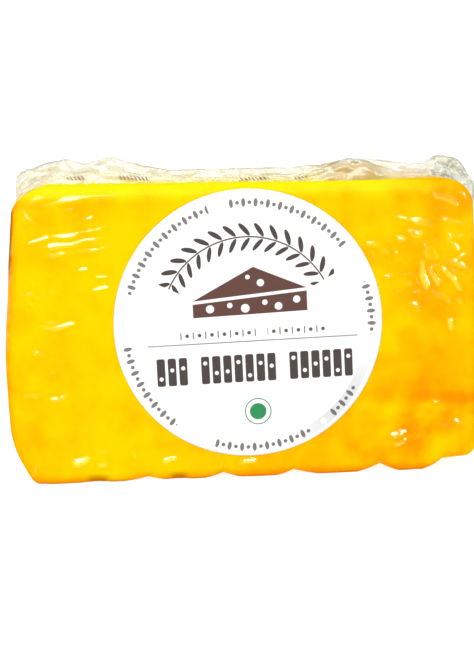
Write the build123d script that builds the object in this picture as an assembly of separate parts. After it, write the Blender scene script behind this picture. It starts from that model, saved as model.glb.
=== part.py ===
"""A block of cheddar, vacuum-packed in clear film, with a round paper label.

It stands on its long narrow side.

Frame: millimetres, +Z up, +X along the block's length, the labelled face looking towards -Y.
The origin is the middle of the whole pack's bounding box, at the level it rests on.

Two solids, one node each:
  vacuum_bag  the cheese and the film that clings to it, with the film's crumpled sealed edge standing on top
  label       the round paper label stuck to the front, which follows the front's rounded top edge
"""

from build123d import *
import math
import os

# ---- the block of cheese in its film -------------------------------------------------------------
length = 106.2          # along X, at the widest level
height = 66.4           # at the left end
depth = 27.6            # along Y, from the labelled face to the back
top_fall = 0.7          # how much lower the cut top is at the right end
left_lean = 2.2         # how far each end leans in between its widest level and the top
right_lean = 1.2
belly_height = 27.5     # level at which the ends are widest
belly_round = 60.0
front_round = 2.4       # rounding of the rim of the labelled face
back_round = 2.8        # rounding of the rim of the back

# ---- its corners, as seen from the front ---------------------------------------------------------
ear_round = 4.0         # the top left corner is worn to a slope between two soft corners
ear_in = 9.5
ear_drop = 4.2
hump_round = 14.0
top_right_round = 6.0
left_heel_in = 1.0      # above each lower corner the ends turn in, from the widest level
right_heel_in = 0.3
heel_up = 9.5
heel_round = 12.0
toe_round = 2.4         # the two lower corners
left_toe_in = 4.8
right_toe_in = 0.8      # the lower right corner is also worn upwards
right_toe_up = 3.0

# ---- the pleats that gather under the lower edge ---------------------------------------------------
lump_shares = (26, 18, 15.5, 19.5, 15)   # lengths of the lumps, left to right, as parts of the lower edge
lump_sag = 1.5          # how far each lump hangs below the pleats beside it
lump_end = 8.0          # from the widest level at the right end to the last pleat
pleat_round = 3.0       # inner rounding of a pleat
foot_press = 0.3        # how much the lumps are flattened where they stand

# ---- the sealed edge of the bag ---------------------------------------------------------------------
fin_thickness = 0.5     # two films welded together, at a thickness that keeps its shape
fin_inset = 7.5         # from the back of the block to the middle of the edge
fin_wave = 1.3          # how far the edge swings to either side
fin_wave_length = 23.0
fin_root = 3.0          # how deep its root lies in the block
fin_low = 2.2           # least height above the block's top
fin_side = 3.0          # how far it stands out past the right end
fin_side_drop = 22.0    # how far it runs down the right end
fin_start = 3.0         # how far in from the left end it starts
fin_step = 2.8          # spacing of the points that its curves pass through
crests = ((-34.0, 5.0, 8.0), (25.0, 3.6, 8.0), (42.0, 2.8, 5.0))   # middle, height and width of each

# ---- the label ----------------------------------------------------------------------------------------
label_diameter = 59.6
label_thickness = 0.2
label_shift = 1.1       # to the right of the block's middle
label_below_top = 30.9  # from the block's top edge down to the label's centre


def top_level(x):
    """Height of the cut top above the base at x."""
    return height - top_fall * (x + length / 2) / length


def front_outline():
    """The block seen from the front: leaning ends, a sloping top and hanging lumps along the lower edge."""
    half = length / 2
    lower_left = (-half + left_toe_in, lump_sag)
    last_pleat = (half - lump_end, lump_sag)
    step = (last_pleat[0] - lower_left[0]) / sum(lump_shares)
    pleats = [(lower_left[0] + step * sum(lump_shares[: n + 1]), lump_sag) for n in range(len(lump_shares))]
    lumps = [
        ThreePointArc(start, ((start[0] + end[0]) / 2, -foot_press), end)
        for start, end in zip([lower_left] + pleats, pleats)
    ]
    corners = {
        (half - right_toe_in, right_toe_up): toe_round,
        (half - right_heel_in, heel_up): heel_round,
        (half, belly_height): belly_round,
        (half - right_lean, top_level(half)): top_right_round,
        (-half + ear_in, top_level(-half)): hump_round,
        (-half + left_lean, top_level(-half) - ear_drop): ear_round,
        (-half, belly_height): belly_round,
        (-half + left_heel_in, heel_up): heel_round,
    }
    rest = Polyline(pleats[-1], *corners, lower_left)
    face = make_face([*lumps, rest])
    for place, radius in [*corners.items(), (lower_left, toe_round), *((p, pleat_round) for p in pleats)]:
        corner = min(face.vertices(), key=lambda v: math.hypot(v.X - place[0], v.Y - place[1]))
        face = fillet(corner, radius)
    return face


def block():
    """The cheese in its clinging film, with rounded rims and flattened feet."""
    solid = extrude(Plane.XZ * front_outline(), depth / 2, both=True)
    solid = fillet(solid.faces().sort_by(Axis.Y)[-1].edges(), back_round)
    solid = fillet(solid.faces().sort_by(Axis.Y)[0].edges(), front_round)
    return split(solid, Plane.XY, keep=Keep.TOP)


def fin_line(x):
    """How far forward or back the sealed edge lies at x: a wave, and a slower one that keeps it uneven."""
    turn = 2 * math.pi * x / fin_wave_length
    return depth / 2 - fin_inset + fin_wave * (0.7 * math.sin(turn) + 0.3 * math.sin(0.43 * turn + 1.0))


def fin_height(x):
    """Height of the sealed edge above the block's top at x."""
    return fin_low + sum(h * math.exp(-(((x - middle) / width) ** 2)) for middle, h, width in crests)


def sealed_edge():
    """The thin wavy edge of the bag: a ribbon seen from above, trimmed to the outline seen from the front."""
    start, end = -length / 2 + fin_start, length / 2 + fin_side
    count = math.ceil((end - start) / fin_step)
    xs = [start + (end - start) * n / count for n in range(count + 1)]
    near = [(x, fin_line(x) - fin_thickness / 2) for x in xs]
    far = [(x, fin_line(x) + fin_thickness / 2) for x in reversed(xs)]
    ribbon = make_face([Spline(*near), Line(near[-1], far[0]), Spline(*far), Line(far[-1], near[0])])
    ribbon = extrude(ribbon, 2 * height)

    turn_x = length / 2 - top_right_round
    corner = top_level(length / 2) - top_right_round
    crest_xs = [x for x in xs if x < turn_x - fin_step / 2] + [turn_x]
    crest_line = [(x, top_level(x) + fin_height(x)) for x in crest_xs]
    shoulder = (end, corner)
    turn = EllipticalCenterArc((turn_x, corner), end - turn_x, crest_line[-1][1] - corner, arc_size=90)
    foot = (end, corner - fin_side_drop)
    inner_foot = (length / 2 - fin_root, corner - fin_side_drop - 2 * fin_side)
    inner_corner = (length / 2 - fin_root - right_lean, corner - fin_root)
    inner_start = (start, top_level(start) - fin_root - ear_drop)
    rest = Polyline(shoulder, foot, inner_foot, inner_corner, inner_start, crest_line[0])
    outline = make_face([Spline(*crest_line), turn, rest])
    return ribbon & extrude(Plane.XZ * outline, depth, both=True)


def label(bag):
    """A round skin of even thickness over the front of the bag."""
    centre_z = top_level(label_shift) - label_below_top
    punch = Pos(label_shift, -depth / 2, centre_z) * Rot(90, 0, 0) * Cylinder(label_diameter / 2, depth / 2)
    return (Pos(0, -label_thickness, 0) * bag - bag) & punch


def main():
    bag = block() + sealed_edge()
    parts = {"vacuum_bag": bag, "label": label(bag)}
    box = Compound(children=[Compound(p.solids()) for p in parts.values()]).bounding_box()
    middle = Pos(-(box.min.X + box.max.X) / 2, -(box.min.Y + box.max.Y) / 2, -box.min.Z)
    os.makedirs("parts", exist_ok=True)
    for name, shape in parts.items():
        placed = middle * shape
        export_step(placed, f"parts/{name}.step")
        size = placed.bounding_box().size
        print(f"{name}: {len(placed.solids())} solid, {placed.volume / 1000:.2f} cm3,"
              f" {size.X:.2f} x {size.Y:.2f} x {size.Z:.2f} mm")


main()
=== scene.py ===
# %% [markdown]
# # A block of cheddar in vacuum film
#
# The finished piece is a block of orange-yellow cheddar, sealed in clear film, standing on its long
# narrow side. A round paper label is stuck to its front, and the sealed edge of the bag stands up
# crumpled along the top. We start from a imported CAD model, which fixes every size: one solid for the
# block in its bag, and one thin disc for the label. Both are replaced here by pieces with real
# surfaces, each in the place that the CAD model gives.

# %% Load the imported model
import math
import bpy
import numpy as np
from mathutils import Matrix, Vector, noise


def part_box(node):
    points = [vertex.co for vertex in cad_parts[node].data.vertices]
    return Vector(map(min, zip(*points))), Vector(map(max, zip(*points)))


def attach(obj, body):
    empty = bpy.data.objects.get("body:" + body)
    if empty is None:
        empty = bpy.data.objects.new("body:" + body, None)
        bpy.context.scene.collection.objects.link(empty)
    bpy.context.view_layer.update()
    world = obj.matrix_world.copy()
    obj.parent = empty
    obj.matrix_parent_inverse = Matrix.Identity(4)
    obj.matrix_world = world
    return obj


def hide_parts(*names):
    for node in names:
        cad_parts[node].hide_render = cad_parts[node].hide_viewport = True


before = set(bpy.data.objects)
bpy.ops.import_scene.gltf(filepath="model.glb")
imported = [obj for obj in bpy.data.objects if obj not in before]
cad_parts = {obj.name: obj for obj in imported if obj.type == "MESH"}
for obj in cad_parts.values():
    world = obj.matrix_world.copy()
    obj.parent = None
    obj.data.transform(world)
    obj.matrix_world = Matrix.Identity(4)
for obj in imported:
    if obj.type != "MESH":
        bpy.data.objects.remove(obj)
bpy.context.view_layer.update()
MM = 0.001
bag_low, bag_high = (np.array(corner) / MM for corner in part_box("vacuum_bag"))
label_low, label_high = (np.array(corner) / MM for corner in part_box("label"))
print("bag from", bag_low.round(1), "to", bag_high.round(1), "mm")
print("label from", label_low.round(1), "to", label_high.round(1), "mm")

# %% [markdown]
# ## Working in millimetres
#
# A wrinkle in vacuum film is a fraction of a millimetre high, so we think in millimetres and convert
# at the last moment. Blender keeps a mesh's points in one long array. Two helpers read and write that
# array whole, which is much faster than a loop over points.

# %% Small helpers for picking and moving
def pick(piece):
    """Makes one piece the only selected and active object."""
    bpy.ops.object.select_all(action="DESELECT")
    piece.select_set(True)
    bpy.context.view_layer.objects.active = piece


def places_of(piece):
    """The piece's points in millimetres, one row each."""
    flat = np.empty(len(piece.data.vertices) * 3, np.float32)
    piece.data.vertices.foreach_get("co", flat)
    return flat.reshape(-1, 3).astype(float) / MM


def move_to(piece, places):
    """Puts each point of the piece at its new place, given in millimetres."""
    piece.data.vertices.foreach_set("co", (places * MM).astype(np.float32).ravel())
    piece.data.update()


def take_modifiers(piece):
    """Applies every modifier of the piece, top first."""
    pick(piece)
    for modifier in list(piece.modifiers):
        bpy.ops.object.modifier_apply(modifier=modifier.name)


def shape_to(piece, places):
    """Puts the points in place, shades the piece smooth and prints its size."""
    move_to(piece, places)
    pick(piece)
    bpy.ops.object.shade_smooth()
    print(piece.name, len(piece.data.polygons), "faces,", np.ptp(places, axis=0).round(2), "mm")


# %% [markdown]
# ## The form of the block
#
# The block was cut square, but film under vacuum has pulled it soft: the ends lean in towards the
# top, the top left corner is worn to a slope, and the lower edge hangs in five lumps with a pleat
# between each pair. A good way to describe such a form is a function that says how far a point is
# outside it. Each side is a wall, and two walls are joined with a rounding. `rounded` puts an exact
# radius on a square edge, and `eased` takes a little off a shallow corner. The sizes repeat the CAD
# model's, measured from the middle of the block.

# %% Sizes of the block
seal_side = 2.9
length = bag_high[0] - bag_low[0] - seal_side
height = 66.4
depth = 27.6
top_fall = 0.7
widest_level = 27.5
middle = np.array([bag_low[0] + length / 2, bag_low[1] + depth / 2, 0.0])
half_length = length / 2
front = -depth / 2
label_x = (label_low[0] + label_high[0]) / 2 - middle[0]
label_z = (label_low[2] + label_high[2]) / 2
label_radius = (label_high[0] - label_low[0]) / 2
print("block", length.round(1), "x", depth, "x", height, "mm, middle at", middle.round(2))


# %% Two ways to join walls
def rounded(a, b, radius):
    """Two square walls joined: how far outside both a point is, with a radius on their edge."""
    corner = np.hypot(np.maximum(a + radius, 0), np.maximum(b + radius, 0))
    return np.minimum(np.maximum(a, b), -radius) + corner


def eased(a, b, cut):
    """Two slanting walls joined, with that much taken off their corner."""
    near = np.maximum(4 * cut - np.abs(a - b), 0)
    return np.maximum(a, b) + near**2 / (16 * cut)


def wall(x, z, start, end):
    """How far a point is outside the straight wall from start to end, going clockwise."""
    run = np.array(end) - np.array(start)
    run = run / np.hypot(*run)
    return (x - start[0]) * -run[1] + (z - start[1]) * run[0]


# %% The ends and the cut top
left_walls = ((-half_length + 4.5, 1.5), (-half_length + 0.7, 9.2), (-half_length, widest_level),
              (-half_length + 2.8, height - 3.6), (-half_length + 9.0, height + 0.2))
right_walls = ((half_length - 1.2, height - top_fall), (half_length, widest_level),
               (half_length - 0.3, 9.5), (half_length - 0.8, 3.0))
left_cuts = (0.45, 0.15, 0.53)
right_cuts = (0.05, 0.02)


def top_level(x):
    return height - top_fall * (x + half_length) / length


def end_form(x, z, corners, cuts):
    """One end of the block: its walls, joined one after another."""
    total = wall(x, z, corners[0], corners[1])
    for start, end, cut in zip(corners[1:], corners[2:], cuts):
        total = eased(total, wall(x, z, start, end), cut)
    return total


# %% The lumps along the lower edge
pleats = (-half_length + 4.8, -22.6, -4.8, 10.8, 30.1, half_length - 8.0)
pleat_heights = (0.4, 0.8, 1.0, 1.1, 1.7, 2.3)
toe_level = 2.8


def lump_arch(x):
    """0 under the middle of a lump, 1 at a pleat."""
    arch = np.ones_like(x)
    for start, end in zip(pleats, pleats[1:]):
        share = (x - start) / (end - start)
        arch = np.where((share > 0) & (share < 1), (2 * share - 1) ** 2, arch)
    return arch


def bottom_level(x, y):
    """The hanging lumps, which wander a little from front to back, and the worn right end."""
    wander = 1.1 * np.sin(0.21 * (y - front)) * np.cos(0.13 * x)
    tall = np.interp(x + wander, pleats, pleat_heights)
    lumps = np.maximum((tall + 0.3) * lump_arch(x + wander) - 0.3, 0)
    worn = np.clip((x - pleats[-1]) / 3.5, 0, 1)
    return lumps + (toe_level - pleat_heights[-1]) * worn


# %% Slow noise and the label's shelter
def swell(x, z, size, seed):
    """Slow, even waves that cross in several directions, between about -1 and 1."""
    rng = np.random.default_rng(seed)
    total = np.zeros_like(x)
    for _ in range(7):
        angle, phase = rng.uniform(0, math.tau, 2)
        pace = math.tau / (size * rng.uniform(0.7, 1.5))
        total += np.sin(pace * (x * math.cos(angle) + z * math.sin(angle)) + phase)
    return total / 3.2


def label_cover(x, z, feather):
    """1 well outside the label, 0 under it."""
    gap = np.hypot(x - label_x, z - label_z) - label_radius
    return np.clip(gap / feather + 0.5, 0, 1)


def patch(x, z, centre, reach):
    """1 at the centre of a patch of one broad face, 0 beyond its reach."""
    gap = np.hypot((x - centre[0]) / reach[0], (z - centre[1]) / reach[1])
    return np.clip(1.3 * (1 - gap), 0, 1)


# %% The whole form
def pressed_in(x, y, z):
    """How far the broad faces are pressed in: slow dents, lumpy lower corners, hollows above the pleats."""
    dents = 0.18 * (1 + swell(x, z, 17, 5)) + 0.08 * (1 + swell(x + y, z, 8, 6))
    lumpy = patch(x, z, (42, 8), (24, 15)) + 0.5 * patch(x, z, (-36, 6), (22, 9))
    dents = dents + 0.30 * lumpy * (1 + swell(x + y, z, 7.5, 8))
    dents = dents * (0.2 + 0.8 * label_cover(x, z, 8.0))
    hollows = 0.7 * lump_arch(x) ** 3 * np.exp(-np.clip(z - 1, 0, None) / 4.0)
    tucks = sum(patch(x, z, (spot, 0.6), (3.4, 2.0)) for spot in (-33.6, -15.4))
    return dents + hollows + 0.9 * tucks


def block_form(places):
    """How far each place is outside the block, in millimetres: under 0 inside."""
    x, y, z = places.T
    bottom = bottom_level(x, y) - z
    top = z - top_level(x)
    left = end_form(x, z, left_walls, left_cuts) + 0.05 * (1 + swell(y, z, 14, 7))
    right = end_form(x, z, right_walls, right_cuts) + 0.05 * (1 + swell(y, z, 14, 9))
    outline = eased(eased(left, top, 0.5), bottom, 0.45)
    outline = np.maximum(outline, rounded(rounded(right, top, 6.0), bottom, 2.4))
    faces = np.abs(y) - depth / 2 + pressed_in(x, y, z)
    return rounded(outline, faces, np.where(y < 0, 2.4, 2.8))


# %% [markdown]
# ## From a plain box to the form
#
# We add a cube at the block's size and cut its sides into small squares with Subdivide, one direction
# at a time, because the block is long and thin and equal cuts would make long faces. Then every point
# slides along a line from the core of the block until it meets the form. Points near an edge fan out
# round it, so the rounding gets its share of faces. Halving the step seven times, and then drawing a
# straight line between the last two tries, finds the meeting point closely.

# %% A finely cut box
def cut_box(name, low, high, cuts):
    """A box whose sides are cut into small squares; cuts gives two factors for each direction."""
    bpy.ops.mesh.primitive_cube_add(size=1)
    piece = bpy.context.object
    piece.name = name
    move_to(piece, np.where(places_of(piece) > 0, high, low))
    # in vertex mode, picking the long edges would pick every edge between their ends too
    bpy.context.tool_settings.mesh_select_mode = (False, True, False)
    for axis, factors in enumerate(cuts):
        for factor in factors:
            ends = np.empty(2 * len(piece.data.edges), np.int32)
            piece.data.edges.foreach_get("vertices", ends)
            places = places_of(piece)
            run = np.abs(places[ends[0::2]] - places[ends[1::2]])
            along = run[:, axis] > 0.99 * run.sum(1)
            for rows in (piece.data.polygons, piece.data.vertices):
                rows.foreach_set("select", np.zeros(len(rows), bool))
            piece.data.edges.foreach_set("select", along)
            pick(piece)
            bpy.ops.object.mode_set(mode="EDIT")
            bpy.ops.mesh.subdivide(number_cuts=factor - 1)
            bpy.ops.object.mode_set(mode="OBJECT")
    return piece


def slide_to_form(places, form, core):
    """Slides places outward from the core box until each lies on the form."""
    start = np.clip(places, core[0], core[1])
    ray = places - start
    near, far = np.full(len(places), 0.2), np.full(len(places), 1.2)
    depth_near, depth_far = form(start + ray * 0.2), form(start + ray * 1.2)
    for _ in range(7):
        half = (near + far) / 2
        found = form(start + ray * half[:, None])
        inside = found < 0
        near, far = np.where(inside, half, near), np.where(inside, far, half)
        depth_near, depth_far = np.where(inside, found, depth_near), np.where(inside, depth_far, found)
    share = near + (far - near) * depth_near / (depth_near - depth_far - 1e-9)
    return start + ray * share[:, None]


def unit(rows):
    """Each row scaled to a length of 1."""
    return rows / np.linalg.norm(rows, axis=1, keepdims=True)


def outward(places, form, step=0.05):
    """The direction straight out of the form at each place."""
    return unit(np.stack([form(places + step * d) - form(places - step * d) for d in np.eye(3)], axis=1))


block_low = np.array([-half_length, front, 0.0])
block_high = np.array([half_length, -front, height])
core_inset = 7.5
core = (block_low + core_inset, block_high - core_inset)

# %% [markdown]
# ## Wrinkles in the film
#
# Film under vacuum lies flat until it has to gather. Then it folds into low roofs with flat flanks and
# a sharp crest: long ripples side by side where it was pulled, a net of small cells where it was
# crushed, pleats above each notch of the lower edge, and fans at every corner. A flat flank mirrors a
# lamp all over at once, and that is what makes the crisp white streaks on such a pack. Each ridge here
# is a line in space, and a point close to it is lifted by a roof. Slow noise bends the lines first, so
# that no ridge is straight.

# %% Ridges along lines
def bent(places):
    """The places, shifted by slow noise, so that straight lines through them come out bent."""
    x, y, z = places.T
    shift = [swell(x + 3 * y, z, 7.0, 20 + n) for n in range(3)]
    return places + 0.22 * np.stack(shift, axis=1)


def ridge(places, start, end, width, tall):
    """Height of one ridge from start to end: a roof across, fading at both ends."""
    start, end = np.array(start, float), np.array(end, float)
    run = end - start
    share = np.clip((places - start) @ run / (run @ run), 0, 1)
    gap = np.linalg.norm(places - start - share[:, None] * run, axis=1)
    fade = np.clip(6 * share * (1 - share), 0, 1)
    return tall * fade * np.clip(1 - gap / width, 0, 1)


def on_front(x0, z0, x1, z1, width):
    """A ridge on the labelled face, as steep as it must be to mirror the lamps to the camera."""
    slope = 0.72 - 0.0022 * (z0 + z1)
    return (x0, front, z0), (x1, front, z1), width, width * slope


# %% The ridges of the front
pulled_ripples = [on_front(*row) for row in (
    (-42.5, 54.7, -28.4, 57.1, 0.9), (-45.2, 52.6, -28.0, 54.9, 1.1), (-45.0, 50.9, -26.8, 53.2, 1.1),
    (-44.5, 61.6, -30.5, 64.4, 1.0), (-32.0, 57.0, -31.4, 64.0, 0.9), (-47.0, 53.5, -48.0, 58.5, 0.9),
    (-47.0, 53.5, -42.0, 55.5, 0.9), (-39.5, 60.6, -36.0, 61.4, 0.9), (-35.0, 58.6, -31.5, 59.6, 0.9),
    (-26.2, 47.8, -23.2, 48.4, 1.0), (-33.0, 45.9, -29.4, 46.2, 0.9), (-33.5, 43.4, -29.0, 43.7, 0.9),
    (-50.5, 42.2, -45.5, 42.8, 1.0), (-43.5, 43.2, -38.5, 42.6, 0.9), (-36.5, 47.6, -33.5, 48.0, 0.9),
    (-46.0, 35.0, -36.0, 36.2, 1.0), (-37.5, 38.5, -33.0, 35.8, 0.9), (-47.5, 30.5, -42.5, 28.8, 1.0),
    (-50.0, 20.7, -44.5, 20.2, 1.0), (-44.0, 19.6, -39.0, 19.9, 1.0), (-39.5, 4.4, -34.5, 6.2, 1.2),
    (-34.0, 4.0, -31.0, 4.6, 0.9), (-19.5, 4.6, -15.0, 5.2, 1.2), (-2.5, 3.6, 3.0, 3.9, 0.9),
    (8.5, 64.3, 13.5, 63.6, 1.0),
)]
crushed_ridges = [on_front(*row) for row in (
    (34.0, 57.8, 39.0, 56.2, 1.0), (37.0, 57.2, 43.5, 54.8, 1.2), (36.0, 54.6, 41.5, 53.6, 0.9),
    (43.5, 55.5, 50.0, 55.8, 0.9), (39.5, 49.5, 41.0, 40.5, 1.5), (41.5, 47.0, 43.8, 41.5, 1.2),
    (44.0, 47.0, 49.5, 40.0, 1.1), (44.5, 55.0, 48.5, 49.0, 1.0), (45.8, 35.5, 46.6, 31.5, 1.3),
    (32.2, 8.0, 36.8, 9.4, 1.0), (32.6, 6.3, 36.4, 7.4, 1.0), (40.0, 3.6, 41.5, 10.5, 1.0),
    (44.0, 5.0, 50.0, 8.0, 1.2), (42.0, 62.8, 48.5, 59.6, 1.3), (39.0, 63.6, 44.0, 62.4, 1.0),
    (38.2, 48.4, 39.3, 41.8, 1.1), (35.0, 46.5, 37.3, 47.8, 0.9), (42.0, 53.0, 42.6, 49.4, 0.9),
    (46.8, 48.6, 48.8, 45.6, 0.9), (46.0, 45.6, 49.4, 44.4, 0.9),
)]
print(len(pulled_ripples) + len(crushed_ridges), "ridges placed by hand on the front")
chance = np.random.default_rng(23)
short_creases = []
for n in range(64):
    # two kinds: level ones that face the lamps above, steep ones that face the lamp at the side
    angle = chance.uniform(-1.25, -0.85) if n % 3 == 0 else chance.uniform(-0.5, 0.55)
    slope = 0.49 if n % 3 == 0 else min(0.50, 0.18 / abs(math.sin(angle)))
    reach, width = chance.uniform(0.8, 1.9), chance.uniform(0.75, 1.05)
    x, z = 39.8 + 12 * chance.uniform(-1, 1), 47.0 + 10 * chance.uniform(-1, 1)
    run, climb = reach * math.cos(angle), reach * math.sin(angle)
    short_creases.append(((x - run, front, z - climb), (x + run, front, z + climb), width, width * slope))
print(len(short_creases), "short creases among the crushed cells")

# %% Pleats above each notch, and fans at the corners
rng = np.random.default_rng(11)


def pleat_fan(x, side):
    """Three short ridges that spread upward from a notch of the lower edge."""
    fan = []
    for turn in (-0.5, 0.05, 0.55):
        reach = rng.uniform(5, 9)
        top = (x + turn * reach + rng.uniform(-0.5, 0.5), side * depth / 2, 1.5 + reach)
        fan.append(((x, side * (depth / 2 - 1.0), 1.2), top, 0.9, rng.uniform(0.25, 0.45)))
    return fan


def corner_fan(corner, count, reach, tall):
    """Ridges that spread from a corner of the block over the three faces that meet there."""
    inward = -np.sign(np.array(corner) - np.array([0, 0, height / 2]))
    fan = []
    for _ in range(count):
        face = rng.integers(0, 3)
        direction = inward * rng.uniform(0.15, 1.0, 3)
        direction[face] = 0
        start = np.array(corner) + inward * 1.0
        start[face] = corner[face]
        end = start + direction / np.linalg.norm(direction) * rng.uniform(0.5, 1.0) * reach
        fan.append((start, end, rng.uniform(0.7, 1.1), rng.uniform(0.4, 1.0) * tall))
    return fan


pleat_ridges = [r for x in pleats for side in (-1, 1) for r in pleat_fan(x, side)]
corners = [(x, y, z) for x in (-half_length + 1, half_length - 1) for y in (front, -front)
           for z in (0.8, height - 1)]
corner_ridges = [r for corner in corners for r in corner_fan(corner, 9, 13, 0.45)]
print(len(pleat_ridges), "pleat ridges and", len(corner_ridges), "corner ridges")

# %% The end folds, the gathers at the seal and the back's wrinkles
seal_inset = 7.5                # from the back of the block to the sealed edge
seal_y = -front - seal_inset


def end_folds(side):
    """Film folded in at an end, as paper is on a parcel."""
    x = side * half_length
    tips = [(x, -3.0 * side, height - 20.0), (x, 2.5 * side, 17.0)]
    folds = []
    for tip, level in zip(tips, (height - 2.0, 2.0)):
        for y in (front + 2, -front - 2):
            folds.append(((x, y, level), tip, 1.1, 0.5))
            folds.append(((x, 0.8 * y, level), (x, tip[1] * 0.6, tip[2] * 0.94 + 1), 0.8, 0.3))
    folds.append((tips[0], tips[1], 1.0, 0.4))
    return folds


gathers = []
for x in np.arange(-half_length + 5, half_length - 4, 3.1):
    for side in (-1, 1):
        start = (x + rng.uniform(-1, 1), seal_y, top_level(x))
        end = (x + rng.uniform(-2.5, 2.5), seal_y + side * rng.uniform(4, 16 if side < 0 else 7), start[2])
        gathers.append((start, end, rng.uniform(0.7, 1.1), rng.uniform(0.25, 0.55)))
back_ridges = []
for _ in range(52):
    x, z = rng.uniform(-46, 46), rng.uniform(6, 58)
    angle, reach = rng.normal(0.2, 0.5), rng.uniform(5, 16)
    end = (x + reach * math.cos(angle), -front, z + reach * math.sin(angle))
    back_ridges.append(((x, -front, z), end, rng.uniform(0.7, 1.2), rng.uniform(0.2, 0.5)))
side_ridges = end_folds(-1) + end_folds(1)
print(len(side_ridges), "end folds,", len(gathers), "gathers,", len(back_ridges), "ridges on the back")


# %% Crushed cells
def cell_net(places, size=2.8, border=0.44):
    """Roofs along the borders of irregular cells, 1 at the crest and 0 inside the cells."""
    net = np.empty(len(places))
    offset = Vector((3.7, 1.3, 9.1))
    for n, place in enumerate(places / size):
        near = noise.voronoi(Vector(place) + offset)[0]
        net[n] = near[1] - near[0]
    return np.clip(1 - net / border, 0, 1)


def crushed(places):
    """How tall the cells stand at each place: crushed patches on the front, the back and the ends."""
    x, y, z = places.T
    facing = np.clip(-y / 6 - 1.2, 0, 1)
    away = np.clip(y / 6 - 1.2, 0, 1)
    on_ends = np.clip(np.abs(x) - half_length + 3, 0, 1)
    return (
        0.40 * patch(x, z, (43, 45), (18, 18)) * facing
        + 0.26 * patch(x, z, (-44, 36), (13, 30)) * facing
        + 0.34 * patch(x, z, (44, 12), (16, 12)) * facing
        + 0.20 * patch(x, z, (-36, 8), (20, 9)) * facing
        + 0.36 * patch(x, z, (-20, 22), (42, 26)) * away
        + 0.06 * on_ends
    )


all_ridges = (pulled_ripples + crushed_ridges + short_creases + pleat_ridges + corner_ridges + side_ridges
              + gathers + back_ridges)


def film_height(places):
    """How far the film stands off the cheese at each place. Only the points beside a ridge are tried."""
    lines = bent(places)
    order = np.argsort(lines[:, 0])
    from_left = lines[order]
    tallest = np.zeros(len(places))
    for start, end, width, tall in all_ridges:
        reach = (min(start[0], end[0]) - width, max(start[0], end[0]) + width)
        first, last = np.searchsorted(from_left[:, 0], reach)
        near = ridge(from_left[first:last], start, end, width, tall)
        tallest[first:last] = np.maximum(tallest[first:last], near)
    total = np.empty(len(places))
    total[order] = tallest
    tall = crushed(places) * np.clip(0.75 + 0.9 * swell(*places[:, ::2].T, 5.5, 41), 0.1, 1)
    touched = tall > 0.01
    tall[touched] *= cell_net(lines[touched])
    total = np.maximum(total, tall)
    x, y, z = places.T
    total += 0.02 * (1 + swell(x + y, z, 4.0, 31)) + 0.01 * (1 + swell(x - y, z, 1.9, 32))
    root = np.exp(-np.abs(y - seal_y) / 1.1) * (z > height - 8) * (x < half_length - 2)
    total += 0.7 * root
    return total * np.where(y < 0, label_cover(x, z, 1.2), 1)


# %% [markdown]
# ## The cheese and the film round it
#
# Both pieces start as the same kind of cut box. The cheese takes half the height of the wrinkles,
# because it is soft and was squeezed into them, and the film takes all of it and stands a tenth of a
# millimetre further out. So the ridges shade the cheese below and glint on the film above.

# %% The places on the form that both pieces share
block_cuts = ((15, 16), (3, 13), (12, 12))
cheese = cut_box("cheese", block_low, block_high, block_cuts)
form_places = slide_to_form(places_of(cheese), block_form, core)
form_out = outward(form_places, block_form)
wrinkles = film_height(form_places)


def skin_places(gap, share, floor_gap):
    """Places that far outside the form, lifted by a share of the wrinkles, and never under the floor."""
    places = form_places + form_out * (gap + share * wrinkles)[:, None]
    places[:, 2] = np.maximum(places[:, 2], floor_gap)
    return places + middle


# %% The cheese
shape_to(cheese, skin_places(0.0, 0.5, 0.05))

# %% The clinging film
film = cut_box("clinging_film", block_low, block_high, block_cuts)
shape_to(film, skin_places(0.1, 1.0, 0.0))
lift = film.data.attributes.new("lift", "FLOAT", "POINT")
lift.data.foreach_set("value", wrinkles.astype(np.float32))

# %% [markdown]
# ## The sealed edge
#
# Where the bag was closed, its front and back films were welded together and stand up as a thin
# crumpled edge along the top, turning down round the right-hand corner. We add a grid and give it a
# thickness with Solidify, which makes a front wall and a back wall joined at the border: a flat pouch.
# The lower border follows the block, the upper one rises and falls in crests, and each wall is
# crumpled by its own noise, so that they part in the middle and meet again at the weld. The grid
# carries a UV map, which runs along the edge and up it, for the finish to follow.

# %% The line that the edge follows
def edge_line(y, climb, drop, step=0.6):
    """Points along the form in the plane y: up the left corner, along the top, down the right end.

    With them come the direction away from the form at each point and the distance run."""
    up_end = np.arange(height - climb, height, step / 2)
    along_top = np.arange(-half_length, half_length, step / 2)
    down_end = np.arange(height, height - drop - 6, -step / 2)
    x = np.concatenate([np.full_like(up_end, -half_length), along_top, np.full_like(down_end, half_length)])
    z = np.concatenate([up_end, np.full_like(along_top, height), down_end])
    line = slide_to_form(np.stack([x, np.full_like(x, y), z], axis=1), block_form, core)
    out = outward(line, block_form)
    out[:, 1] = 0
    out[line[:, 0] < 0] = (0, 0, 1)
    out = unit(out)
    run = np.concatenate([[0], np.cumsum(np.linalg.norm(np.diff(line, axis=0), axis=1))])
    even = np.linspace(0, run[-1], int(run[-1] / step))
    line = np.stack([np.interp(even, run, line[:, n]) for n in range(3)], axis=1)
    out = np.stack([np.interp(even, run, out[:, n]) for n in range(3)], axis=1)
    for _ in range(6):
        out[1:-1] = (out[:-2] + 2 * out[1:-1] + out[2:]) / 4
    return line, unit(out), even


def creased(run, share, seed):
    """Noise with sharp folds, between -1 and 1, for each point along the edge and up it."""
    out = np.empty(len(run))
    for n, (along, up) in enumerate(zip(run, share)):
        out[n] = 1 - 2.8 * abs(noise.noise(Vector((along, up, seed * 7.3))))
    return out


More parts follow.
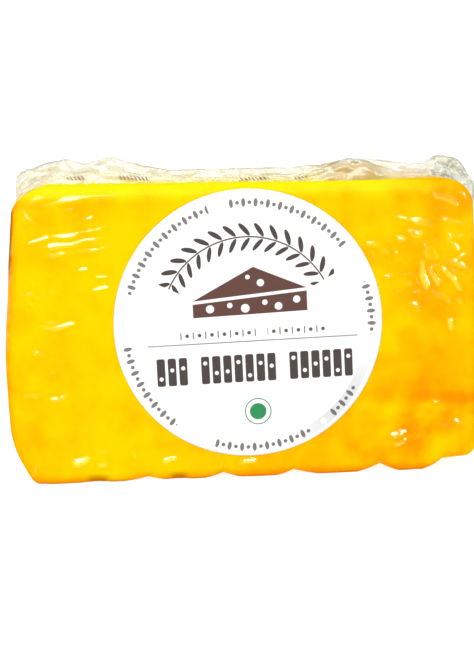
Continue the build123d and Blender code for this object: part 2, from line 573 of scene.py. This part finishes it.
def pouch(name, y, climb, drop, rise, fold, seed, lean_to=0.0, rows=20, forward=((0, 0),)):
    """Two films welded at their upper border, crumpled by fold.

    rise gives the height along the line, and forward pairs places with distances towards the front."""
    line, out, run = edge_line(y, climb, drop)
    bpy.ops.mesh.primitive_grid_add(x_subdivisions=len(line) - 1, y_subdivisions=rows - 1, size=1)
    piece = bpy.context.object
    piece.name = name
    skin = piece.modifiers.new("skin", "SOLIDIFY")
    skin.thickness = 0.02
    skin.offset = 0
    take_modifiers(piece)
    grid = places_of(piece) * MM
    column = np.rint((grid[:, 0] + 0.5) * (len(line) - 1)).astype(int)
    share = grid[:, 1] + 0.5
    # the grid's upper face becomes the front wall, so that the faces point outwards
    side = -np.sign(grid[:, 2])
    along = run[column]
    sway = np.zeros(len(grid))
    for size, strength in ((9.0, 0.60), (3.6, 0.34), (1.6, 0.12)):
        sway += strength * creased(along / size, share * 8 / size, seed)
    own = np.zeros(len(grid))
    for size, strength in ((5.0, 0.6), (2.2, 0.3)):
        own += strength * creased(along / size, share * 7 / size + side * 9, seed + 5)
    apart = np.sin(math.pi * np.clip(share, 0, 1)) ** 0.7
    shift = fold * sway * np.clip(share * 1.6, 0, 1) + lean_to * share
    shift += side * (0.04 + apart * (0.45 + 0.4 * own))
    ragged = 0.28 * creased(run / 2.6, run * 0, seed + 3) + 0.14 * creased(run / 1.1, run * 0, seed + 4)
    tall = rise(line[:, 0], line[:, 2]) + ragged * fold * 0.5
    lift = -0.8 + share * (0.8 + tall[column])
    placed = line[column] + out[column] * lift[:, None]
    placed[:, 1] += shift - np.interp(line[column, 0], *np.transpose(forward))
    shape_to(piece, placed + middle)
    edge_map = piece.data.uv_layers.new(name="edge_map")
    corner_points = np.empty(len(piece.data.loops), int)
    piece.data.loops.foreach_get("vertex_index", corner_points)
    flat = np.stack([along, share], axis=1)[corner_points]
    edge_map.data.foreach_set("uv", flat.astype(np.float32).ravel())
    return piece


# %% The heights of the edge
crests = ((-51.3, 6.6), (-50.0, 5.6), (-46.2, 4.4), (-41.4, 4.6), (-38.5, 5.3), (-34.3, 3.9), (-28.6, 5.6),
          (-25.0, 4.4), (-20.3, 3.2), (-15.0, 2.2), (12.0, 2.3), (20.0, 2.8), (27.0, 4.2), (31.6, 3.9),
          (41.0, 2.8), (44.6, 2.7), (46.6, 4.6), (49.0, 5.4), (52.0, 4.6))


def crest_rise(x, z):
    """Height of the welded border above the block, and its narrow run down the right end."""
    rise = np.interp(x, *np.transpose(crests))
    end = np.clip((height - 5 - z) / 20, 0, 1)
    return rise * (1 - end) ** 1.5 + 0.3


def fold_rise(x, z):
    """A lower fold in front of the border: tall beside the right-hand crest, where it is tan."""
    mound = 3.4 * np.exp(-(((x - 25.0) / 7.5) ** 2)) + 2.0 * np.exp(-(((x + 31) / 8.0) ** 2))
    end = np.clip((height - 5 - z) / 12, 0, 1)
    return (1.1 + mound + 0.3 * np.sin(x / 4.0)) * (1 - end) + 0.2


edge_back = pouch("sealed_edge", seal_y, 6.0, 22, crest_rise, 1.2, 3)
edge_fold = pouch("edge_fold", seal_y - 3.4, 4.0, 14, fold_rise, 1.1, 9, lean_to=0.8, rows=16,
                  forward=((-50, 0), (-40, 2), (-20, 4), (3, 8), (18, 11), (32, 10), (44, 3), (50, 0)))

# %% [markdown]
# ## The paper label
#
# The label is a 60 mm disc of paper that follows the film below it. A circle filled with one face is
# inset again and again, which gives rings of faces from rim to middle, enough of them to bend. Then a
# Shrinkwrap presses the disc on to the film from the front, and Solidify gives the paper its thickness.

# %% The label's disc
label_place = (np.array([label_x, front - 2, label_z]) + middle) * MM
bpy.ops.mesh.primitive_circle_add(vertices=144, radius=label_radius * MM, fill_type="NGON",
                                  location=label_place, rotation=(math.pi / 2, 0, 0))
label = bpy.context.object
label.name = "paper_label"
bpy.ops.object.transform_apply(location=True, rotation=True, scale=True)
bpy.ops.object.mode_set(mode="EDIT")
bpy.ops.mesh.select_mode(type="FACE")
bpy.ops.mesh.select_all(action="SELECT")
ring_step = 1.0
for _ in range(int(label_radius / ring_step) - 1):
    bpy.ops.mesh.inset(thickness=ring_step * MM, depth=0)
bpy.ops.mesh.poke()
bpy.ops.object.mode_set(mode="OBJECT")

press = label.modifiers.new("press", "SHRINKWRAP")
press.target = film
press.wrap_method = "PROJECT"
press.use_project_y = press.use_negative_direction = True
take_modifiers(label)
settle = label.modifiers.new("settle", "SMOOTH")
settle.factor, settle.iterations = 0.5, 4
settle.use_x = settle.use_z = False
paper_thickness = 0.1
paper = label.modifiers.new("paper", "SOLIDIFY")
paper.thickness = paper_thickness * MM
paper.offset = 0
take_modifiers(label)
shape_to(label, places_of(label) - (0, paper_thickness, 0))

# %% [markdown]
# ## Shader maths as plain arithmetic
#
# A material in Blender is a graph of nodes. Wiring a pattern by hand takes dozens of Math nodes, so
# one small class wraps a socket and lets Python's own operators add the nodes for us. Every other
# node comes from a single method, which sets the node's choices first and its sockets after.

# %% The class that writes nodes
class Signal:
    """A number, colour or vector that varies over a surface."""

    def __init__(self, paint, socket):
        self.paint, self.socket = paint, socket

    def math(self, operation, *others):
        return self.paint.node("ShaderNodeMath", {"operation": operation}, dict(enumerate((self, *others))))

    def ramp(self, low, high):
        """0 below low, 1 above high, smooth between."""
        return self.paint.node("ShaderNodeMapRange", {"interpolation_type": "SMOOTHSTEP"},
                               {"Value": self, "From Min": low, "From Max": high})

    def __add__(self, other): return self.math("ADD", other)
    def __radd__(self, other): return self.math("ADD", other)
    def __sub__(self, other): return self.math("SUBTRACT", other)
    def __rsub__(self, other): return self.math("MULTIPLY_ADD", -1, other)
    def __mul__(self, other): return self.math("MULTIPLY", other)
    def __rmul__(self, other): return self.math("MULTIPLY", other)
    def __truediv__(self, other): return self.math("DIVIDE", other)
    def __pow__(self, other): return self.math("POWER", other)
    def __neg__(self): return self.math("MULTIPLY", -1)
    def __abs__(self): return self.math("ABSOLUTE")


class Paint:
    """The nodes of one material, or of the sky. Its owner is the material or the world itself."""

    def __init__(self, name, kind=bpy.data.materials):
        self.owner = kind.new(name)
        self.owner.use_nodes = True
        self.nodes, self.links = self.owner.node_tree.nodes, self.owner.node_tree.links
        self.nodes.clear()

    def node(self, kind, choices=None, inputs=None, output=0):
        """Adds a node, makes its choices, then fills its sockets by name or number."""
        node = self.nodes.new(kind)
        for key, value in (choices or {}).items():
            setattr(node, key, value)
        for key, value in (inputs or {}).items():
            if isinstance(value, Signal):
                self.links.new(value.socket, node.inputs[key])
            elif isinstance(value, tuple) and len(value) == 3 and node.inputs[key].type == "RGBA":
                node.inputs[key].default_value = (*value, 1)
            else:
                node.inputs[key].default_value = value
        return Signal(self, node.outputs[output]) if node.outputs else None

    def finish(self, surface):
        self.node("ShaderNodeOutputMaterial", None, {"Surface": surface})
        return self.owner

    def place(self):
        """Object coordinates in millimetres, as three signals."""
        where = self.node("ShaderNodeTexCoord", None, None, "Object")
        scaled = self.node("ShaderNodeVectorMath", {"operation": "SCALE"}, {0: where, "Scale": 1 / MM})
        return self.parts(scaled)

    def parts(self, vector, axes="XYZ"):
        return [self.node("ShaderNodeSeparateXYZ", None, {0: vector}, axis) for axis in axes]

    def spot(self, x, y, z):
        return self.node("ShaderNodeCombineXYZ", None, {0: x, 1: y, 2: z})

    def clouds(self, vector, size, detail=2.0, rough=0.5):
        """Soft noise between 0 and 1, with features of about that size in millimetres."""
        return self.node("ShaderNodeTexNoise", None,
                         {"Vector": vector, "Scale": 1 / size, "Detail": detail, "Roughness": rough})

    def coats(self, colour, *coats):
        """A colour with others laid over it one after another, each by its own share."""
        for share, upper in coats:
            colour = self.node("ShaderNodeMix", {"data_type": "RGBA"}, {0: share, 6: colour, 7: upper}, 2)
        return colour

    def bump(self, tall):
        return self.node("ShaderNodeBump", None, {"Height": tall, "Distance": MM})

    def skin(self, colour, rough, normal, gloss=0.0, **more):
        """A surface of that colour. gloss is how strongly it mirrors."""
        return self.node("ShaderNodeBsdfPrincipled", None, {
            "Base Color": colour, "Roughness": rough, "Normal": normal, "Specular IOR Level": gloss, **more})

    def over(self, share, under, upper):
        """One surface seen partly through another."""
        return self.node("ShaderNodeMixShader", None, {0: share, 1: under, 2: upper})

    def clear(self):
        return self.node("ShaderNodeBsdfTransparent")


def larger(first, *others):
    """The largest of several signals at each place."""
    for other in others:
        first = first.math("MAXIMUM", other)
    return first


# %% Masks
soft = 0.06                     # width of a soft edge, in millimetres


def inside(value, limit):
    """1 where value is below limit, with a soft ink edge."""
    return (-value).ramp(-limit - soft, -limit + soft)


def band(value, low, high):
    return inside(abs(value - (low + high) / 2), (high - low) / 2)


# %% [markdown]
# ## Cheddar
#
# Coloured cheddar is close-textured and slightly waxy, a strong orange-yellow that light enters a
# little way. The colour drifts by patches and turns more orange towards the bottom, in a band across
# the lower right and towards the right-hand end. Painted shade deepens it along the left end, with a
# thin umber line there, and along the foot, and turns it russet under the lower edge and in its
# tucks. A painted highlight makes the top rim lemon, and painted light and shade mottle the lumpy
# lower right. All of it is worked out from the place on the block.

# %% The cheese's material
def cheddar():
    paint = Paint("cheddar")
    x, y, z = paint.place()
    x = x - middle[0]
    here = paint.spot(x, y, z)
    drift = paint.clouds(here, 24.0, 1.0)
    patches = paint.clouds(here, 6.0, 2.0)
    grain = paint.clouds(here, 0.8, 3.0, 0.6)
    golden = (0.88, 0.600, 0.0004)
    orange = (0.86, 0.270, 0.0003)
    lemon = (0.88, 0.800, 0.0060)
    russet, umber = (0.44, 0.098, 0.0003), (0.22, 0.04, 0.002)
    right_hand = x.ramp(2.0, 46.0)
    out_left = 0.08 * larger(z - widest_level, 0.0) - x
    # painted shade: the left end turns deeper orange where its side turns away from the light
    left_shade_and_spots = out_left.ramp(half_length - 2.4, half_length + 0.4)
    # painted shade: deeper orange along the foot of the block
    foot = (-z).ramp(-3.0, -0.2)
    # a band of deeper orange across the lower right
    orange_band = (-abs(z - 17.3 + 0.08 * (x - 40.0))).ramp(-2.2, -0.2) * x.ramp(31.0, 42.0)
    # the lumpy lower right, where stronger, lighter patches stand in for painted light and shade over the
    # lumps
    lumpy = x.ramp(20.0, 34.0) * (-z).ramp(-19.0, -14.0)
    # darker towards the bottom
    lower = (-z).ramp(-44.0, -8.0)
    # deeper orange spots at both upper corners and at the lower right are added to the left end's painted
    # shade
    for x0, z0, wide, tall, strength in ((46.0, 61.0, 8.0, 4.5, 0.55), (-46.0, 64.5, 9.0, 3.5, 0.5),
                                          (36.0, 13.5, 3.0, 5.0, 0.35), (34.0, 18.5, 9.0, 5.0, 0.22)):
        spot = (-((x - x0) / wide) ** 2 - ((z - z0) / tall) ** 2).ramp(-1.0, 0.0)
        left_shade_and_spots = left_shade_and_spots + strength * spot
    # random drifts and patches of tone, more orange towards the right and in the band, plus painted shade and
    # painted light
    tone_and_painted_shading = (0.34 * right_hand + 0.16 * lower + 0.62 * left_shade_and_spots + 0.55 * foot + 0.34 * orange_band
                       + drift - 0.5 + (patches - 0.5) * (1.1 + 0.9 * lumpy) - 0.16 * lumpy)
    # painted highlight: the top rim is lemon where light from above catches it, left of the right-hand corner
    lit_rim = (z - 1.5 * (patches - 0.5)).ramp(height - 4.5, height - 0.2) * (-x).ramp(-46.0, -30.0)
    # painted shadow: russet under the lower edge and in the tucks between the lumps
    edge = (-z).ramp(-0.9, 0.0)
    for spot, reach in ((-33.6, 3.4), (-15.4, 2.6), (47.0, 3.0)):
        aside = (-abs(x - spot)).ramp(-reach, -0.3 * reach)
        edge = larger(edge, aside * (-z).ramp(-2.6, -0.4))
    # painted shade: a thin umber line down the upper part of the left end
    left_line = out_left.ramp(half_length - 1.0, half_length - 0.1) * z.ramp(44.0, 51.0)
    left_line = 0.9 * left_line * (-z).ramp(-63.5, -60.5)
    colour = paint.coats(golden, (tone_and_painted_shading.ramp(-0.20, 1.1), orange), (0.85 * lit_rim, lemon),
                         (edge * 0.75, russet), (left_line, umber))
    normal = paint.bump(grain * 0.05 + patches * 0.3)
    return paint.finish(paint.skin(colour, 0.4 + 0.2 * grain, normal))


cheese.data.materials.append(cheddar())


# %% [markdown]
# ## Clear film
#
# A clear film shows what is behind it and mirrors a little of the light, more at a slant. A Layer
# Weight node gives the slant, and a Mix Shader puts a polished metal, which is the plainest mirror,
# over a transparent shader by it. Where the film stands well off the cheese, on the crests of the
# ridges, a pale yellow is laid over it: partly the paler look of film with air below, partly a painted
# highlight. The film's mesh carries its own height as an attribute, named lift. Fine noise through a
# Bump node breaks the mirror image up. Real film this thin hardly casts a shadow, so ours casts none,
# which keeps dark outlines away from the ridges.

# %% The clinging film's material
def mirror_over(paint, under, normal, least, most, colour, rough, strength):
    """A film's reflection laid over what shows through it: least seen straight on, most at a slant."""
    facing = paint.node("ShaderNodeLayerWeight", None, {"Blend": 0.5, "Normal": normal}, "Facing")
    share = (least + (most - least) * facing.ramp(0.0, 0.55)) * strength
    return paint.over(share, under, paint.skin(colour, rough, normal, 0.5, Metallic=1.0))


def cling_film():
    paint = Paint("cling_film")
    x, y, z = paint.place()
    here = paint.spot(x, y, z)
    fine = paint.clouds(here, 1.3, 2.0)
    slow = paint.clouds(here, 4.5, 2.0)
    normal = paint.bump(fine * 0.03 + slow * 0.10)
    lifted = paint.node("ShaderNodeAttribute", {"attribute_name": "lift"}, None, "Fac")
    # partly the paler look of film with air below, partly a painted highlight on the crests of the ridges
    air_and_crest_highlight = paint.skin((0.95, 0.86, 0.08), 0.5, normal)
    body = paint.over(0.50 * lifted.ramp(0.30, 0.56), paint.clear(), air_and_crest_highlight)
    x = x - middle[0]
    rim = larger(
        z.ramp(height - 4.4, height - 3.2) * x.ramp(-32.0, -26.0),
        z.ramp(height - 2.6, height - 1.9),
        x.ramp(half_length - 4.2, half_length - 3.0),
        (0.6 * (z - 60.0) - x).ramp(half_length - 7.0, half_length - 5.0))
    rough, strength, pale_yellow = 0.10 + 0.15 * rim, 1 - 0.98 * rim, (1.0, 0.97, 0.66)
    return paint.finish(mirror_over(paint, body, normal, 0.024, 0.07, pale_yellow, rough, strength))


film.data.materials.append(cling_film())
film.visible_shadow = False
film.visible_diffuse = False


# %% [markdown]
# ## The edge's finish
#
# Away from the cheese the film is seen against nothing, so its own tint shows. It is creamy, with a
# peach tint near its root that grows towards the right, tan in the fold on the right, and a cool
# grey-green at the right-hand corner, whose crinkles are painted darker as painted shade. Creases and
# the cut border catch less light, so they are painted grey as painted shade.
# Just above the block a row of slanted marks shows where the jaws of the sealer gripped.

# %% The edge's material
def edge_film():
    paint = Paint("edge_film")
    x, y, z = paint.place()
    x = x - middle[0]
    here = paint.spot(x, y, z)
    edge_map = paint.node("ShaderNodeUVMap", {"uv_map": "edge_map"})
    along, up = paint.parts(edge_map, "XY")
    slow = paint.clouds(here, 6.0, 2.0)
    fine = paint.clouds(here, 1.4, 3.0)
    crinkles = paint.clouds(here, 1.8, 3.0)
    normal = paint.bump(fine * 0.10 + slow * 0.4 + 1.3 * crinkles * x.ramp(40.0, 47.0))
    cream, peach = (0.82, 0.77, 0.58), (0.84, 0.64, 0.34)
    tan, cool, shade = (0.60, 0.46, 0.23), (0.74, 0.77, 0.60), (0.36, 0.41, 0.32)
    grey, brown = (0.27, 0.26, 0.22), (0.28, 0.17, 0.08)
    mound = (-abs(x - 26.0)).ramp(-9.0, -3.0) * (-z).ramp(-70.4, -69.0)
    # a peach tint near the root of the edge, stronger towards the right
    peach_tint = (-up).ramp(-0.6, -0.2) * (0.3 + 0.7 * x.ramp(-5.0, 15.0))
    right_corner = x.ramp(43.0, 47.0)
    veins = abs(paint.clouds(here, 3.2, 2.0) - 0.5)
    # painted shade: creases, and the cut border at the top, are painted grey
    crease = (-veins).ramp(-0.03, -0.004) * (0.32 + 0.4 * right_corner)
    border = up.ramp(0.90, 0.98) * slow.ramp(0.36, 0.56) * 0.75
    dark = larger(crease, border)
    slant = along / 0.85 + up * 2.2
    dash = abs(slant.math("FRACT") - 0.5).ramp(0.20, 0.30) * band(up, 0.46, 0.76)
    gripped = larger(*(
        (-abs(x - (start + end) / 2)).ramp((start - end) / 2, (start - end) / 2 + 1.0)
        for start, end in ((-39.5, -34.0), (-27.0, -19.5), (-0.5, 7.5), (12.0, 16.0))))
    dash = dash * gripped * (-y).ramp(-(seal_y - 1.4 + middle[1]), -(seal_y - 2.2 + middle[1]))
    # painted shade: the right-hand corner's crinkles in a darker grey-green, creases and border in grey
    colour = paint.coats(cream, (peach_tint, peach), (mound, tan), (right_corner, cool),
                         (0.7 * right_corner * crinkles.ramp(0.50, 0.62), shade), (dark, grey), (dash, brown))
    at_left = (-x).ramp(half_length - 14.0, half_length - 5.0)
    veil = 0.36 + 0.6 * (slow - 0.4) + 0.60 * mound + 0.10 * at_left + 0.30 * right_corner
    haze = larger(veil * up.ramp(-0.55, -0.15), 0.8 * dark, 0.9 * dash)
    body = paint.over(haze, paint.clear(), paint.skin(colour, 0.4, normal, 0.2))
    pale = (0.95, 0.94, 0.90)
    return paint.finish(mirror_over(paint, body, normal, 0.006, 0.040, pale, 0.18, 1 - 0.85 * mound))


seal_finish = edge_film()
for sheet in (edge_back, edge_fold):
    sheet.data.materials.append(seal_finish)


# %% [markdown]
# ## The printed label
#
# The print is drawn by arithmetic on the place within the disc, in millimetres across and up, turned
# a little because the label was stuck on askew. Each sign is a mask, 1 where the ink is and 0
# elsewhere: a ring of small seeds in groups, an arc of leaves, a wedge of cheese with its holes, a
# row of studs, a thin rule, three groups of bold bars and a green spot. There is no lettering.

# %% Signs for the print
label_turn = math.radians(1.4)


def distance_from(across, up, x, y):
    """Distance from a point of the label."""
    return (((across - x) ** 2) + ((up - y) ** 2)) ** 0.5


def above(across, up, start, end):
    """1 on the left-hand side of the line from start to end."""
    run = np.array(end) - np.array(start)
    run = run / np.hypot(*run)
    return inside((across - start[0]) * run[1] - (up - start[1]) * run[0], 0.0)


def every(value, step):
    """Where a place lies in its repeat, from minus half a step to half a step."""
    return ((value / step + 0.5).math("FRACT") - 0.5) * step


# %% The ring of seeds and the arc of leaves
ring_radius, ring_centre = 27.4, (0.1, -0.5)
leaf_radius = 19.3
ring_groups = ((107, 163), (37, 97), (-8, 17), (-51, -33), (-108, -62), (-172, -128))
ring_studs = (102, 27, -17, -55, -117, 176)


def ring_print(far, turn):
    """Groups of small seeds and studs round the rim, far from the centre, at an angle of turn degrees."""
    step = 2.9
    along = every(turn, step) * (ring_radius * math.radians(1))
    off = far - ring_radius + 0.05
    odd = abs(every(turn, 2 * step)).ramp(1.35, 1.55)
    seed = inside(((along / 0.44) ** 2 + (off / 0.95) ** 2) ** 0.5, 1.0)
    stud = inside((along ** 2 + off ** 2) ** 0.5, 0.42)
    signs = larger(seed * odd, stud * (1 - odd))
    return signs * larger(*(band(turn, start, end) for start, end in ring_groups))


def leaf_arc(far, turn):
    """A garland: pairs of leaves that lean along a thin stem."""
    step = 9.0
    along = every(turn, step) * (leaf_radius * math.radians(1))
    off = abs(far - leaf_radius)
    lean = math.radians(52)
    lengthwise = along * math.cos(lean) + (off - 1.65) * math.sin(lean)
    crosswise = (off - 1.65) * math.cos(lean) - along * math.sin(lean)
    leaf = inside(((lengthwise / 1.75) ** 2 + (crosswise / 0.52) ** 2) ** 0.5, 1.0)
    stem = inside(off, 0.16)
    reach = inside(abs(turn - 90.5), 63.0)
    return larger(leaf, stem) * reach


# %% The wedge, the studs, the rule, the bars and the spot
def wedge(across, up):
    """A wedge of cheese: a three-cornered top over a front face with holes."""
    left, right, tip = (-12.2, 5.6), (13.2, 7.4), (1.5, 12.6)
    top = above(across, up, left, right)
    top = top * above(across, up, right, tip) * above(across, up, tip, left)
    face = above(across, up, (13.2, 6.7), (-12.2, 4.9)) * band(across - 0.5, -12.7, 12.7)
    face = face * above(across, up, (-12.2, 1.9), (13.2, 2.3))
    for x, y, reach in ((-8.4, 3.7, 0.9), (-4.0, 4.3, 0.6), (-0.6, 3.5, 0.95), (3.8, 4.6, 0.6),
                        (6.8, 3.6, 0.85), (10.9, 4.9, 0.8), (3.0, 9.0, 0.8), (0.2, 10.4, 0.5)):
        hole = inside(distance_from(across, up, x, y), reach)
        face, top = face * (1 - hole), top * (1 - hole)
    return larger(face, top)


def stud_row(across, up):
    """A row of small studs and strokes, in two groups."""
    step = 2.75
    along = every(across, step)
    stud = inside(distance_from(along, up, 0.0, -2.0), 0.42)
    stroke = band(every(across + step / 2, step), -0.13, 0.13) * band(up, -2.8, -1.2)
    reach = inside(abs(across - 0.6), 16.6) * (1 - inside(abs(across - 2.8), 1.3))
    return larger(stud, stroke) * reach


def bold_bars(across, up):
    """Three groups of tall rounded bars, each bar with a round hole, the holes at changing heights."""
    pitch, width, base, tip, radius = 2.46, 0.92, -13.0, -6.8, 0.45
    place = across - 1.0
    along = every(place + pitch / 2, pitch)
    number = ((place + 50 * pitch) / pitch).math("FLOOR")
    middle_up = (base + tip) / 2
    out_across = larger(abs(along) - (width - radius), 0.0)
    out_up = larger(abs(up - middle_up) - ((tip - base) / 2 - radius), 0.0)
    bar = inside((out_across ** 2 + out_up ** 2) ** 0.5, radius)
    level = middle_up + 1.7 * (number * 2.4).math("SINE")
    bar = bar * (1 - inside((along ** 2 + (up - level) ** 2) ** 0.5, radius))
    groups = ((-9, -6), (-5, 2), (3, 9))
    return bar * larger(*(band(place, start * pitch, end * pitch) for start, end in groups))


# %% The label's material
def printed_paper():
    paint = Paint("printed_paper")
    x, y, z = paint.place()
    x, z = x - (label_x + middle[0]), z - label_z
    across = x * math.cos(label_turn) + z * math.sin(label_turn)
    up = z * math.cos(label_turn) - x * math.sin(label_turn)
    far = distance_from(across, up, 0.0, 0.0)
    ring_far = distance_from(across, up, *ring_centre)
    turn = up.math("ARCTAN2", across) * (180 / math.pi)
    fibre = paint.clouds(paint.spot(x, y, z), 0.5, 3.0, 0.7)
    paper, cool = (0.93, 0.93, 0.925), (0.52, 0.53, 0.55)
    faded, brown, dark = (0.11, 0.095, 0.09), (0.12, 0.055, 0.044), (0.07, 0.055, 0.05)
    green = (0.03, 0.26, 0.09)
    lower_right = turn.ramp(-78.0, -52.0) * (-turn).ramp(8.0, 36.0)
    shaded_ring = band(ring_far, 26.2, 28.5) * (0.04 + 0.54 * lower_right)
    colour = paint.coats(paper, (0.03 * fibre, cool), (shaded_ring, cool))
    for angle in np.radians(ring_studs):
        x0, y0 = np.array(ring_centre) + ring_radius * np.array((math.cos(angle), math.sin(angle)))
        colour = paint.coats(colour, (inside(distance_from(across, up, float(x0), float(y0)), 0.75), paper))
    rule = inside(abs(up + 3.9), 0.14) * inside(abs(across - 0.8), 23.4)
    spot = distance_from(across, up, 1.2, -19.8)
    colour = paint.coats(
        colour, (0.9 * ring_print(ring_far, turn), faded), (leaf_arc(far, turn), dark),
        (wedge(across, up), brown), (stud_row(across, up), faded), (0.8 * rule, faded),
        (bold_bars(across, up), dark), (inside(spot, 1.85), green), (band(spot, 2.75, 3.0), green))
    return paint.finish(paint.skin(colour, 0.5 + 0.1 * fibre, paint.bump(fibre * 0.012), 0.05))


label.data.materials.append(printed_paper())

# %% Every piece rides on the one body and replaces its CAD node
pieces = {
    "vacuum_bag": (cheese, film, edge_back, edge_fold),
    "label": (label,),
}
for node, shown in pieces.items():
    for piece in shown:
        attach(piece, "root")
        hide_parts(node)

# %% [markdown]
# ## Floor, light and camera
#
# The floor is a wide pale disc that glows a little, so that it stays white up to the horizon and keeps
# only a faint shadow. The sky is white, a little dimmer overhead. A white floor mirrored in the film
# would wash out the cheese, so mirrors don't see the floor, and the sky is dark low down in front. The
# key lamp stands high on the left in front. Two wide lamps light nothing and only show in the gloss,
# at the height where the flanks of the ridges mirror them while the flat of the face doesn't.

# %% The floor
bpy.ops.mesh.primitive_circle_add(vertices=96, radius=6.0, fill_type="NGON", location=(0, 0, 0))
floor = bpy.context.object
floor.name = "floor"
floor.visible_glossy = False
white = Paint("white_floor")
floor.data.materials.append(white.finish(white.node("ShaderNodeBsdfPrincipled", None, {
    "Base Color": (0.35, 0.35, 0.35), "Roughness": 0.9, "Specular IOR Level": 0.0,
    "Emission Color": (1, 1, 1), "Emission Strength": 0.85})))


# %% The lamps
def soft_light(name, place, size, power):
    place, aim = Vector(place), Vector((0, 0, 0.035))
    bpy.ops.object.light_add(type="AREA", location=place)
    lamp = bpy.context.object
    lamp.name = name
    lamp.data.shape = "RECTANGLE"
    lamp.data.size, lamp.data.size_y = size
    lamp.data.energy = power
    lamp.rotation_euler = (aim - place).to_track_quat("-Z", "Y").to_euler()
    return lamp


soft_light("key", (-0.16, -0.44, 0.46), (0.16, 0.16), 1.4)
for name, place, size, power in (("front_glints", (-0.02, -0.46, 0.38), (0.46, 0.28), 16.0),
                                 ("side_glints", (0.42, -0.36, 0.20), (0.16, 0.30), 5.0)):
    glints = soft_light(name, place, size, power)
    glints.visible_diffuse = False

# %% The sky
room = Paint("room", bpy.data.worlds)
bpy.context.scene.world = room.owner
direction = room.node("ShaderNodeTexCoord", None, None, "Generated")
ahead, upward = room.parts(direction, "YZ")
low_front = room.node("ShaderNodeMapRange", None, {
    "Value": ahead * 0.25 + upward, "From Min": -0.08, "From Max": 0.0})
overhead = room.node("ShaderNodeMapRange", None, {
    "Value": upward, "From Min": 0.25, "From Max": 0.8, "To Min": 1.05, "To Max": 0.85})
glow = room.node("ShaderNodeBackground", None, {"Color": (1, 1, 1), "Strength": low_front * overhead})
room.node("ShaderNodeOutputWorld", None, {"Surface": glow})
bpy.context.scene.view_settings.view_transform = "Standard"

# %% The camera
azimuth, elevation, roll = math.radians(-4.0), math.radians(8.0), math.radians(1.35)
distance = 0.33
aim = Vector(((middle[0] - 1.6) * MM, (front + middle[1]) * MM, 34.7 * MM))
back = Vector((math.sin(azimuth) * math.cos(elevation), -math.cos(azimuth) * math.cos(elevation),
               math.sin(elevation)))
bpy.ops.object.camera_add(location=aim + back * distance)
camera = bpy.context.object
camera.rotation_mode = "QUATERNION"
turned = Matrix.Rotation(-roll, 4, "Z").to_quaternion()
camera.rotation_quaternion = (-back).to_track_quat("-Z", "Y") @ turned
camera.data.sensor_width = 36.0
camera.data.lens = 82.304
camera.data.clip_start = 0.01
bpy.context.scene.camera = camera
print("lens", round(camera.data.lens, 1), "mm")
